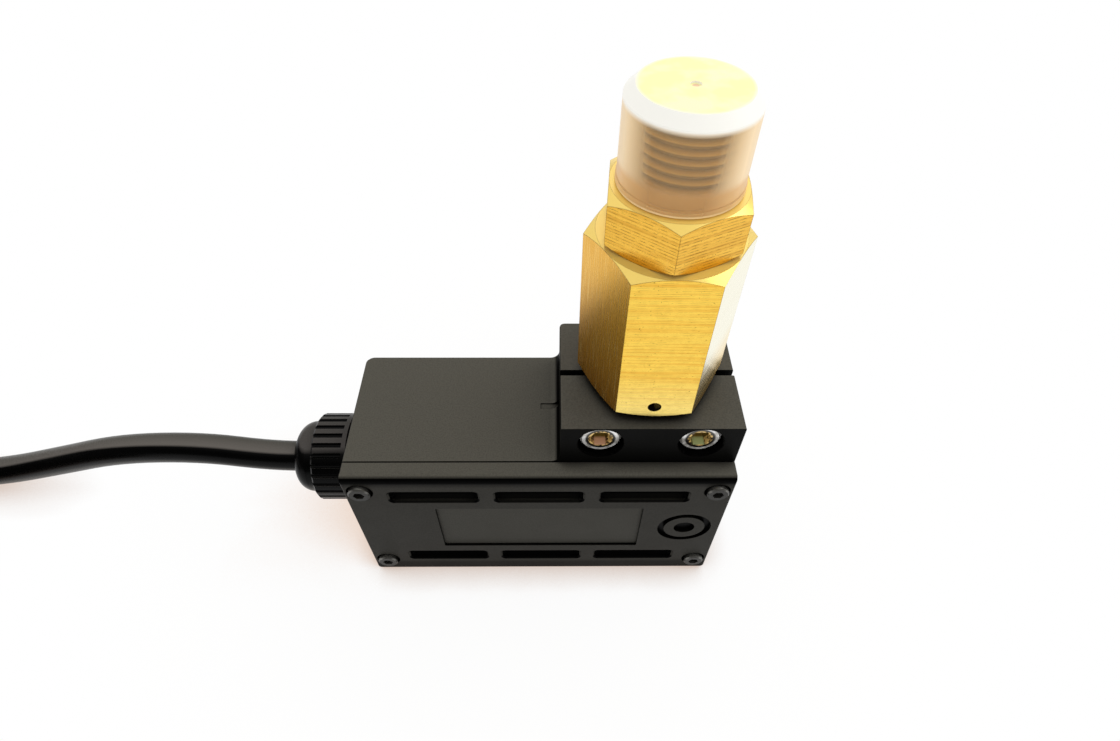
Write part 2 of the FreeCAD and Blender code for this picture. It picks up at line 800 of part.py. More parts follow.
def make_gland_body():
    hex_start = gland_washer_thickness
    hex_end = hex_start + gland_hex_height
    spigot_end = hex_end + gland_spigot_length
    hexagon_part = chamfered_hexagon(gland_hex_af, hex_start, hex_end, 0)
    thread = gland_thread_d / 2
    stem = turned([(0, -gland_inner_reach), (thread - gland_thread_bevel, -gland_inner_reach),
                   (thread, gland_thread_bevel - gland_inner_reach), (thread, hex_start + overrun),
                   (gland_spigot_d / 2, hex_end - overrun), (gland_spigot_d / 2, spigot_end),
                   (0, spigot_end)])
    throat = cable_d / 2 + cable_mouth_gap
    bore = turned([(0, -gland_inner_reach - overrun), (throat, -gland_inner_reach - overrun),
                   (throat, spigot_end - gland_seal_sink), (gland_seal_d / 2, spigot_end - gland_seal_sink),
                   (gland_seal_d / 2, spigot_end + overrun), (0, spigot_end + overrun)])
    return outwards_at_gland(joined([hexagon_part, stem]).cut(bore))


def nut_cone():
    """Start and end of the cone inside the gland nut, as (radius, height) points."""
    spigot_end = gland_washer_thickness + gland_hex_height + gland_spigot_length
    wide = gland_spigot_d / 2 + 2 * gland_fit
    narrow = cable_d / 2 + cable_mouth_gap
    start = spigot_end + gland_seal_gap
    return (wide, start), (narrow, start + wide - narrow)


def make_gland_seal():
    spigot_end = gland_washer_thickness + gland_hex_height + gland_spigot_length
    (wide, cone_start), (narrow, cone_end) = nut_cone()
    sleeve = gland_seal_d / 2 - gland_fit
    inner = cable_d / 2
    seat = spigot_end - gland_seal_sink
    flange = wide - gland_seal_gap
    tip = cone_end - 2 * gland_seal_gap
    seal = turned([(inner, seat), (sleeve, seat), (sleeve, spigot_end), (flange, spigot_end),
                   (flange, cone_start), (narrow + gland_seal_gap, tip), (inner, tip)])
    return outwards_at_gland(seal)


def make_gland_nut():
    start = gland_washer_thickness + gland_hex_height + nut_gap
    grip_start = start + nut_collar
    grip_end = grip_start + nut_grip
    nose_start = grip_end + nut_dome_length
    (wide, cone_start), (narrow, cone_end) = nut_cone()
    outer, dome = nut_d / 2, nut_dome_d / 2
    lines = [(narrow, cable_mouth), (narrow, cone_end), (wide, cone_start), (wide, start),
             (outer - small_break, start), (outer, start + small_break), (outer, grip_end - edge_break),
             (outer - edge_break, grip_end), (dome, grip_end), (dome, nose_start)]
    points = [V(radius, 0, height) for radius, height in lines]
    edges = [Part.LineSegment(a, b).toShape() for a, b in zip(points, points[1:])]
    lip = narrow + small_break
    bulge = math.sqrt(0.5)
    crown = V(lip + (dome - lip) * bulge, 0, nose_start + nut_nose_length * bulge)
    edges.append(Part.Arc(points[-1], crown, V(lip, 0, cable_mouth)).toShape())
    edges.append(Part.LineSegment(V(lip, 0, cable_mouth), points[0]).toShape())
    nut = Part.Face(Part.Wire(edges)).revolve(V(0, 0, 0), UP, 360)
    flutes = []
    for index in range(nut_flutes):
        angle = math.radians(nut_flute_turn) + 2 * math.pi * index / nut_flutes
        flutes.append(rod_z(nut_flute_d, grip_start, grip_end + overrun,
                            outer * math.cos(angle), outer * math.sin(angle)))
    return outwards_at_gland(nut.cut(flutes))


def make_gland_locknut():
    nut = chamfered_hexagon(gland_hex_af, -wall - locknut_height, -wall, 0)
    thread = rod_z(gland_thread_d + 2 * gland_fit, -wall - locknut_height - overrun, 0)
    return outwards_at_gland(nut.cut(thread))


def core_offsets():
    """Places of the three cores round the cable's axis, as (sideways, upwards) steps."""
    angles = [math.radians(90 + 120 * core) for core in range(3)]
    return [(core_circle * math.cos(angle), core_circle * math.sin(angle)) for angle in angles]


def make_cable_sheath():
    inner_end = -gland_inner_reach - sheath_reach
    return outwards_at_gland(rod_z(cable_d, inner_end, cable_mouth))


def make_lead_wires():
    """The three cores from the stripped sheath to the switch's blades, nearest blade first."""
    start_x = left + gland_inner_reach + sheath_reach
    sleeve_bottom = switch_bottom - sleeve_gap - sleeve_length
    floor_z = sleeve_bottom - lead_rise
    leads = []
    for x, (across, up) in zip(blade_places(), core_offsets()):
        lane = 2 * across
        knee_x = start_x + lead_straight + max(0, 2 * up)
        height = gland_height + up
        route = [(start_x, across, height), (knee_x, across, height), (knee_x + lead_drop, lane, floor_z),
                 (x, lane, floor_z), (x, lane, sleeve_bottom)]
        leads.append(tube_along(route, core_d)[0])
    return leads


def make_cable():
    cable, path, radii = tube_along(cable_route, cable_d)
    print("cable bend radii", [round(radius, 1) for radius in radii])
    section = math.pi * cable_d ** 2 / 4
    print("cable run", round(path.Length, 1), "volume over section times run",
          round(cable.Volume / (section * path.Length), 4))
    return cable


def at_coil(shape):
    placed = shape.copy()
    placed.translate(V(coil_centre_x, coil_centre_y, 0))
    return placed


def make_cable_coil():
    return at_coil(turned([(coil_inner, coil_bottom), (coil_outer, coil_bottom), (coil_outer, coil_top),
                           (coil_inner, coil_top)]))


def make_coil_tie():
    gap = coil_lift - tie_thickness
    outside = box(coil_inner - gap - tie_thickness, coil_outer + gap + tie_thickness,
                  -tie_width / 2, tie_width / 2,
                  coil_bottom - gap - tie_thickness, coil_top + gap + tie_thickness)
    inside = box(coil_inner - gap, coil_outer + gap, -tie_width, tie_width,
                 coil_bottom - gap, coil_top + gap)
    tie = outside.cut(inside)
    tie.rotate(V(0, 0, 0), UP, tie_angle)
    return at_coil(tie)


def tail_height():
    return coil_top + cable_d / 2


def make_cable_tail():
    """The cable's last length, lying on top of the coil."""
    middle = coil_mean_d / 2
    tail = Part.makeTorus(middle, cable_d / 2, V(0, 0, tail_height()), UP, 0, 360, tail_sweep)
    tail.rotate(V(0, 0, 0), UP, tail_start_angle)
    return at_coil(tail)


def end_core_frame():
    """End of the tail, the way its cores point, and the way across them."""
    angle = math.radians(tail_start_angle + tail_sweep)
    radius = coil_mean_d / 2
    end = V(coil_centre_x + radius * math.cos(angle), coil_centre_y + radius * math.sin(angle),
            tail_height())
    return end, V(-math.sin(angle), math.cos(angle), 0), V(math.cos(angle), math.sin(angle), 0)


def end_core_rods(diameter, start, length):
    """One rod on each core's line, from a place along it; the cores spread apart a little."""
    end, along, across = end_core_frame()
    rods = []
    for sideways, up in core_offsets():
        base = end.add(V(across).multiply(sideways)).add(V(0, 0, up))
        way = along.add(V(across).multiply(sideways * end_core_fan))
        way.normalize()
        foot = base.add(V(way).multiply(start))
        tip = base.add(V(way).multiply(start + length))
        rods.append(rod(diameter, foot, tip))
    return rods


def make_end_cores():
    """The cores come out of the sheath's cut face, each square to its own line."""
    return Part.Compound(end_core_rods(core_d, core_gap, end_core_length - core_gap))


def make_end_ferrules():
    collars = end_core_rods(ferrule_collar_d, end_core_length, ferrule_collar_length)
    pins = end_core_rods(ferrule_pin_d, end_core_length, ferrule_collar_length + ferrule_pin_length)
    return Part.Compound([joined([collar, pin]) for collar, pin in zip(collars, pins)])


lead_brown, lead_black, lead_blue = make_lead_wires()
pieces = {
    "housing": make_housing(),
    "cover_gasket": make_cover_gasket(),
    "front_cover": make_front_cover(),
    "cover_screws": make_cover_screws(),
    "cover_inserts": make_cover_inserts(),
    "clamp_screws": make_clamp_screws(),
    "clamp_nuts": make_clamp_nuts(),
    "pressure_body": make_pressure_body(),
    "neck_o_ring": make_neck_ring(),
    "inlet_adapter": make_inlet_adapter(),
    "adapter_o_ring": make_adapter_ring(),
    "piston": make_piston(),
    "piston_o_ring": make_piston_ring(),
    "backup_ring": make_backup_ring(),
    "spring_seat": make_spring_seat(),
    "push_stem": make_stem(),
    "stem_bush": make_stem_bush(),
    "pressure_spring": make_pressure_spring(),
    "thread_cap": make_thread_cap(),
    "switch_case": make_switch_case(),
    "switch_plunger": make_switch_plunger(),
    "switch_blades": make_switch_blades(),
    "blade_sleeves": make_blade_sleeves(),
    "switch_screws": make_switch_screws(),
    "gland_washer": make_gland_washer(),
    "gland_body": make_gland_body(),
    "gland_seal": make_gland_seal(),
    "gland_nut": make_gland_nut(),
    "gland_locknut": make_gland_locknut(),
    "cable_sheath": make_cable_sheath(),
    "lead_brown": lead_brown,
    "lead_black": lead_black,
    "lead_blue": lead_blue,
    "cable": make_cable(),
    "cable_coil": make_cable_coil(),
    "coil_tie": make_coil_tie(),
    "cable_tail": make_cable_tail(),
    "end_cores": make_end_cores(),
    "end_ferrules": make_end_ferrules(),
}

os.makedirs("parts", exist_ok=True)
for name, shape in pieces.items():
    shape.exportStep("parts/" + name + ".step")
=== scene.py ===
import math

import bpy
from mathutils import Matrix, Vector


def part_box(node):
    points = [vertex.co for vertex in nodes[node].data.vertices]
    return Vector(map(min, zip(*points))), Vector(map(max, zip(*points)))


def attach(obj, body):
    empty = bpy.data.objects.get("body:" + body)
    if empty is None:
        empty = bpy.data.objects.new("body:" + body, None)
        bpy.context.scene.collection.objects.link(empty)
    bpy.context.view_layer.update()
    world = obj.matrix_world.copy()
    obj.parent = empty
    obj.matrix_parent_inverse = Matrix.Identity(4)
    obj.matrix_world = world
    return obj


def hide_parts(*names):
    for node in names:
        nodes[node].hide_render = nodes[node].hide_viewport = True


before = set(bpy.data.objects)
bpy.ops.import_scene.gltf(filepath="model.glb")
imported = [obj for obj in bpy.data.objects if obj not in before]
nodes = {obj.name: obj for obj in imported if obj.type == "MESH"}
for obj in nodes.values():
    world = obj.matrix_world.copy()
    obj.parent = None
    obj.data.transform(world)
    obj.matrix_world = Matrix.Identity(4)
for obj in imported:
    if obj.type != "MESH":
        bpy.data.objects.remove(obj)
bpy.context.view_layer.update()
scene = bpy.context.scene
scene.view_settings.view_transform = "Standard"
MM = 0.001

# Camera: close above the front cover, with a short lens
camera_place = Vector((-23.37, -104.71, 186.92)) * MM
camera_turn = (40.31, -0.48, -0.43)
camera_focal_length = 21.08
camera_sensor_width = 36.0
camera_shift_up = 0.002
camera_near_limit = 10 * MM

lens = bpy.data.cameras.new("camera")
lens.sensor_width = camera_sensor_width
lens.lens = camera_focal_length
lens.shift_y = camera_shift_up
lens.clip_start = camera_near_limit
camera = bpy.data.objects.new("camera", lens)
camera.location = camera_place
camera.rotation_euler = [math.radians(angle) for angle in camera_turn]
scene.collection.objects.link(camera)
scene.camera = camera

# Cable: out of the gland, down to the floor, four coiled turns in two layers and a tail lying on top
cable_d = 8.6 * MM
cable_route = [
    (-0.09545, 0.0, 0.0265),
    (-0.10345, 0.0, 0.0265),
    (-0.1240, 0.0012, 0.0294),
    (-0.1490, 0.0030, 0.0260),
    (-0.1710, 0.0048, 0.0172),
    (-0.1930, 0.0060, 0.0094),
    (-0.2130, 0.0066, 0.0060),
    (-0.2320, 0.0063, 0.0056),
]
coil_centre = Vector((-0.250, -0.0440, 0.0))
coil_outer_r = 50.3 * MM
coil_inner_r = coil_outer_r - cable_d
tail_r = (coil_outer_r + coil_inner_r) / 2
layer_1 = 5.6 * MM
layer_2 = layer_1 + cable_d
layer_3 = layer_2 + cable_d
turn_step = 10
# Angle in degrees, radius and height where the lay of the coil changes; it runs smoothly in between
coil_lay = [
    (90, coil_outer_r, layer_1),
    (380, coil_outer_r, layer_1),
    (450, coil_inner_r, layer_1),
    (700, coil_inner_r, layer_1),
    (740, coil_inner_r, layer_2),
    (1000, coil_inner_r, layer_2),
    (1060, coil_outer_r, layer_2),
    (1310, coil_outer_r, layer_2),
    (1350, coil_outer_r, layer_3),
    (1400, tail_r, layer_3),
    (1555, tail_r, layer_3),
]


def eased(low, high, share):
    """Value between low and high that leaves the one and reaches the other gently."""
    return low + (high - low) * share * share * (3 - 2 * share)


def coil_point(angle, radius, height):
    """Point of the coil at an angle in degrees."""
    turn = math.radians(angle)
    return coil_centre + Vector((radius * math.cos(turn), radius * math.sin(turn), height))


def coil_points():
    points = []
    for (a0, r0, z0), (a1, r1, z1) in zip(coil_lay, coil_lay[1:]):
        steps = round((a1 - a0) / turn_step)
        for step in range(steps):
            share = step / steps
            angle = a0 + (a1 - a0) * share
            points.append(coil_point(angle, eased(r0, r1, share), eased(z0, z1, share)))
    return points + [coil_point(*coil_lay[-1])]


def make_cable():
    curve = bpy.data.curves.new("cable_cord", "CURVE")
    curve.dimensions = "3D"
    # The points carry the thickness, because the box of a curve reaches a point radius past each of them
    curve.bevel_depth = 1.0
    curve.bevel_resolution = 8
    curve.resolution_u = 6
    curve.use_fill_caps = True
    spline = curve.splines.new("NURBS")
    points = [Vector(point) for point in cable_route] + coil_points()
    spline.points.add(len(points) - 1)
    for knot, point in zip(spline.points, points):
        knot.co = (*point, 1.0)
        knot.radius = cable_d / 2
    spline.order_u = 3
    spline.use_endpoint_u = True
    cord = bpy.data.objects.new("cable_cord", curve)
    scene.collection.objects.link(cord)
    return cord


cable = make_cable()
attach(cable, "sensor_body")
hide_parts("cable", "cable_coil", "cable_tail")

# Pipe thread of half an inch on the inlet adapter
thread_r = 20.955 / 2 * MM
thread_pitch = 1.814 * MM
thread_depth = 1.162 * MM
thread_start = 122.5 * MM
thread_end = 134.5 * MM
thread_bevel = 1.3 * MM
thread_run_out = 0.5 * thread_pitch
thread_root_r = thread_r - thread_depth

# Places in the frame that the finishes follow
cover_low, cover_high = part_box("front_cover")
cover_front = cover_low[1]
cover_top = cover_high[2]
screws_low, screws_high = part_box("clamp_screws")
screw_head_r = 5.0 * MM
screw_bore_r = 5.65 * MM
screw_x = screws_high[0] - screw_head_r
screw_z = (screws_low[2] + screws_high[2]) / 2
screw_face = screws_low[1]
nut_low, nut_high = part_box("gland_nut")
nut_r = (nut_high[2] - nut_low[2]) / 2
nut_inner_end = nut_high[0]
flute_length = 9.65 * MM
gland_axis_z = cable_route[0][2]
cap_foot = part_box("thread_cap")[0][2]
adapter_hexagon_top = 118.0 * MM
vent_x = -0.36 * MM
vent_z = 69.1 * MM
vent_r = 1.5 * MM


def linear(code):
    """Linear colour with full alpha from an sRGB hex code."""
    channels = [int(code[i:i + 2], 16) / 255 for i in (1, 3, 5)]
    return [c / 12.92 if c <= 0.04045 else ((c + 0.055) / 1.055) ** 2.4 for c in channels] + [1.0]


def add(tree, kind, inputs=(), **settings):
    """New node; settings are its own choices, and inputs go to its sockets, in order or by name.

    An input is a plain value, or a socket or node to link; a node gives its first output that is in use.
    """
    node = tree.nodes.new(kind)
    for name, value in settings.items():
        setattr(node, name, value)
    in_use = [socket for socket in node.inputs if socket.enabled]
    if isinstance(inputs, dict):
        by_name = {socket.name: socket for socket in in_use}
        pairs = [(by_name[name], value) for name, value in inputs.items()]
    else:
        pairs = zip(in_use, inputs)
    for socket, value in pairs:
        if isinstance(value, bpy.types.Node):
            value = next(output for output in value.outputs if output.enabled)
        if isinstance(value, bpy.types.NodeSocket):
            tree.links.new(value, socket)
        else:
            socket.default_value = value
    return node


def new_material(name):
    material = bpy.data.materials.new(name)
    material.use_nodes = True
    material.node_tree.nodes.clear()
    return material, material.node_tree


def object_place(tree):
    """Place on the object in metres, as X, Y and Z."""
    source = add(tree, "ShaderNodeTexCoord")
    return add(tree, "ShaderNodeSeparateXYZ", [source.outputs["Object"]]).outputs


def facing(tree):
    """World direction of the surface as X, Y and Z, so that a finish can follow how a face lies."""
    surface = add(tree, "ShaderNodeNewGeometry")
    return add(tree, "ShaderNodeSeparateXYZ", [surface.outputs["Normal"]]).outputs


def apart(tree, first, centre_first, second, centre_second):
    """Distance in a plane between a point, given by two coordinates, and a centre in metres."""
    legs = []
    for value, centre in ((first, centre_first), (second, centre_second)):
        leg = add(tree, "ShaderNodeMath", [value, centre], operation="SUBTRACT")
        legs.append(add(tree, "ShaderNodeMath", [leg, leg], operation="MULTIPLY"))
    total = add(tree, "ShaderNodeMath", legs, operation="ADD")
    return add(tree, "ShaderNodeMath", [total], operation="SQRT")


def from_clamp_screw(tree, place):
    """Distance from the axis of the nearer of the two clamp screws, which lie along Y."""
    across = add(tree, "ShaderNodeMath", [place["X"]], operation="ABSOLUTE")
    return apart(tree, across, screw_x, place["Z"], screw_z)


def grain(tree, speck_mm, detail, stretch=(1, 1, 1)):
    """Random grain on the object, with specks of about the given size along an axis with stretch 1."""
    source = add(tree, "ShaderNodeTexCoord")
    point = add(tree, "ShaderNodeMapping", {"Vector": source.outputs["Object"], "Scale": stretch})
    return add(tree, "ShaderNodeTexNoise", {"Vector": point, "Scale": 1 / (speck_mm * MM), "Detail": detail})


def plain(name, code, roughness, metallic=0.0, specular=0.5):
    """Even finish, for pieces that lie inside the object or hardly show."""
    material, tree = new_material(name)
    shader = add(tree, "ShaderNodeBsdfPrincipled", {
        "Base Color": linear(code),
        "Roughness": roughness,
        "Metallic": metallic,
        "Specular IOR Level": specular})
    add(tree, "ShaderNodeOutputMaterial", {"Surface": shader})
    return material


def moulded_nylon(name, front_code, cover=False, bores=False):
    """Glass-filled black nylon from an eroded mould: a fine matt grain, grey where it lies level as painted
    light, black where it slopes or looks down as painted shade, and on upright faces a painted front colour
    at the front and a dark grey on the sides and back.

    On the cover, deep faces are painted black as shade, the label's floor is a little paler, and the bands
    along the foot and the top are painted darker as shade. On the housing, the bores round the clamp screws
    are painted black as shade.
    """
    material, tree = new_material(name)
    place = object_place(tree)
    way = facing(tree)
    # The mould's grain is too fine to show, so it is drawn coarser
    pores = grain(tree, speck_mm=0.35, detail=3.0)
    broad = grain(tree, speck_mm=9.0, detail=2.0)
    # Painted light: level faces take a grey, and faces that slope or look down are painted black as shade
    lit = add(tree, "ShaderNodeMapRange", [way["Z"], 0.68, 0.9])
    tilt = add(tree, "ShaderNodeMath", [way["Z"]], operation="ABSOLUTE")
    upright = add(tree, "ShaderNodeMapRange", [tilt, 0.2, 0.03])
    front = linear(front_code)
    if cover:
        label_depths = (cover_front + 0.3 * MM, cover_front + 0.5 * MM)
        deep_to_shallow = (cover_front + 1.0 * MM, cover_front + 0.8 * MM)
        slot_to_front = (cover_front + 0.2 * MM, cover_front + 0.05 * MM)
        below_to_top = (cover_top - 3.0 * MM, cover_top - 2.5 * MM)
        slot_rows = (20 * MM, 30 * MM)
        foot_band = (3.8 * MM, 5.4 * MM)
        top_band = (cover_top - 2.2 * MM, cover_top - 4.2 * MM)

        label = add(tree, "ShaderNodeMapRange", [place["Y"], *label_depths])
        front = add(tree, "ShaderNodeMix", [label, front, linear("#3f3e3a")], data_type="RGBA")
        # Painted shade on the cover: upright faces deep behind its front go black, and the bands along the
        # foot and under the top are darker
        shallow = add(tree, "ShaderNodeMapRange", [place["Y"], *deep_to_shallow])
        over_foot = add(tree, "ShaderNodeMapRange", [place["Z"], *foot_band, 0.4, 1.0])
        under_top = add(tree, "ShaderNodeMapRange", [place["Z"], *top_band, 0.2, 1.0])
        for share in (shallow, over_foot, under_top):
            upright = add(tree, "ShaderNodeMath", [upright, share], operation="MULTIPLY")
        # Level faces take the painted grey at the front and on top, and in the slots only a faint painted
        # gleam, as painted shade
        at_front = add(tree, "ShaderNodeMapRange", [place["Y"], *slot_to_front])
        on_top = add(tree, "ShaderNodeMapRange", [place["Z"], *below_to_top])
        clear = add(tree, "ShaderNodeMath", [at_front, on_top], operation="MAXIMUM")
        slot_gleam = add(tree, "ShaderNodeMapRange", [place["Z"], *slot_rows, 0.03, 0.3])
        gleam = add(tree, "ShaderNodeMapRange", [clear, 0.0, 1.0, slot_gleam, 1.0])
        lit = add(tree, "ShaderNodeMath", [lit, gleam], operation="MULTIPLY")
    if bores:
        # Painted shade in the bores round the clamp screws: the painted grey of level faces stays out of them
        reach = from_clamp_screw(tree, place)
        lit = add(tree, "ShaderNodeMapRange", [reach, screw_bore_r, screw_bore_r + 0.1 * MM, 0.0, lit])
    # Painted shade where faces meet: the painted grey of level faces darkens near other faces
    corner_reach = 4.0 * MM
    corners = add(tree, "ShaderNodeAmbientOcclusion", {"Distance": corner_reach}, samples=8)
    unshaded = add(tree, "ShaderNodeMapRange", [corners.outputs["AO"], 0.45, 0.88, 0.05, 1.0])
    lit = add(tree, "ShaderNodeMath", [lit, unshaded], operation="MULTIPLY")

    # Painted light and shade on upright faces: a face towards the front takes the front colour, the sides and
    # back a dark grey
    to_front = add(tree, "ShaderNodeMapRange", [way["Y"], -0.3, -0.7])
    wall = add(tree, "ShaderNodeMix", [to_front, linear("#1c1c1a"), front], data_type="RGBA")
    colour = add(tree, "ShaderNodeMix", [upright, linear("#020202"), wall], data_type="RGBA")
    colour = add(tree, "ShaderNodeMix", [lit, colour, linear("#55534c")], data_type="RGBA")
    in_pores = add(tree, "ShaderNodeMapRange", [pores, 0.4, 0.75, 0.0, 0.25])
    colour = add(tree, "ShaderNodeMix", [in_pores, colour, linear("#000000")], data_type="RGBA")
    shader = add(tree, "ShaderNodeBsdfPrincipled", {
        "Base Color": colour,
        "Roughness": add(tree, "ShaderNodeMapRange", [broad, 0.3, 0.7, 0.36, 0.44]),
        "Specular IOR Level": 0.025,
        "Normal": add(tree, "ShaderNodeBump", {"Height": pores, "Distance": 0.006 * MM, "Strength": 0.5})})
    add(tree, "ShaderNodeOutputMaterial", {"Surface": shader})
    return material


def smooth_polymer(name, lit_code, far_code, flutes=False):
    """Smooth black polymer of round pieces: a soft grey painted highlight band along the top, darker on its
    far side, then black, and paler underneath from painted floor light.

    The flutes of the gland's nut get none of the painted light and stay black as painted shade.
    """
    # The painted highlight band lies a little behind the top
    gleam_way = (0, 0.276, 0.961)
    material, tree = new_material(name)
    place = object_place(tree)
    way = facing(tree)
    skin = grain(tree, speck_mm=0.3, detail=2.0)
    surface = add(tree, "ShaderNodeNewGeometry")
    # Painted highlight: faces that lean towards gleam_way take the band's colours
    lean = add(tree, "ShaderNodeVectorMath", [surface.outputs["Normal"], gleam_way], operation="DOT_PRODUCT")
    lit = add(tree, "ShaderNodeMapRange", [lean, 0.68, 0.78])
    under = add(tree, "ShaderNodeMapRange", [way["Z"], 0.1, -0.15])
    if flutes:
        flute_end = nut_inner_end - flute_length
        dome_to_flutes = (flute_end - 0.2 * MM, flute_end + 0.2 * MM)
        body_to_flutes = (nut_inner_end + 0.35 * MM, nut_inner_end + 0.05 * MM)
        crest_to_flute = (nut_r - 0.05 * MM, nut_r - 0.25 * MM)

        # Painted shade in the flutes of the nut: the painted highlight and the painted underside light stay
        # out of them
        reach = apart(tree, place["Y"], 0.0, place["Z"], gland_axis_z)
        fluted = add(tree, "ShaderNodeMapRange", [reach, *crest_to_flute])
        fluted = add(tree, "ShaderNodeMapRange", [place["X"], *dome_to_flutes, 0.0, fluted])
        fluted = add(tree, "ShaderNodeMapRange", [place["X"], *body_to_flutes, 0.0, fluted])
        lit = add(tree, "ShaderNodeMapRange", [fluted, 0.0, 1.0, lit, 0.0])
        under = add(tree, "ShaderNodeMapRange", [fluted, 0.0, 1.0, under, 0.0])
    # Painted floor light makes faces that look down paler; the band's colours are darker on the far side
    colour = add(tree, "ShaderNodeMix", [under, linear("#020202"), linear("#363431")], data_type="RGBA")
    near = add(tree, "ShaderNodeMapRange", [way["Y"], 0.65, -0.3])
    band = add(tree, "ShaderNodeMix", [near, linear(far_code), linear(lit_code)], data_type="RGBA")
    colour = add(tree, "ShaderNodeMix", [lit, colour, band], data_type="RGBA")
    shader = add(tree, "ShaderNodeBsdfPrincipled", {
        "Base Color": colour,
        "Roughness": add(tree, "ShaderNodeMapRange", [skin, 0.3, 0.7, 0.24, 0.3]),
        "Specular IOR Level": 0.08})
    add(tree, "ShaderNodeOutputMaterial", {"Surface": shader})
    return material


def oiled_black_steel(name):
    """Black oxide under oil: nearly black, with a paler painted highlight on edges that look up."""
    material, tree = new_material(name)
    # Painted highlight: faces that look up are paler
    gleam = add(tree, "ShaderNodeMapRange", [facing(tree)["Z"], 0.15, 0.6])
    colour = add(tree, "ShaderNodeMix", [gleam, linear("#2e2d2b"), linear("#8e8d88")], data_type="RGBA")
    shader = add(tree, "ShaderNodeBsdfPrincipled", {"Base Color": colour, "Metallic": 1.0, "Roughness": 0.34})
    add(tree, "ShaderNodeOutputMaterial", {"Surface": shader})
    return material


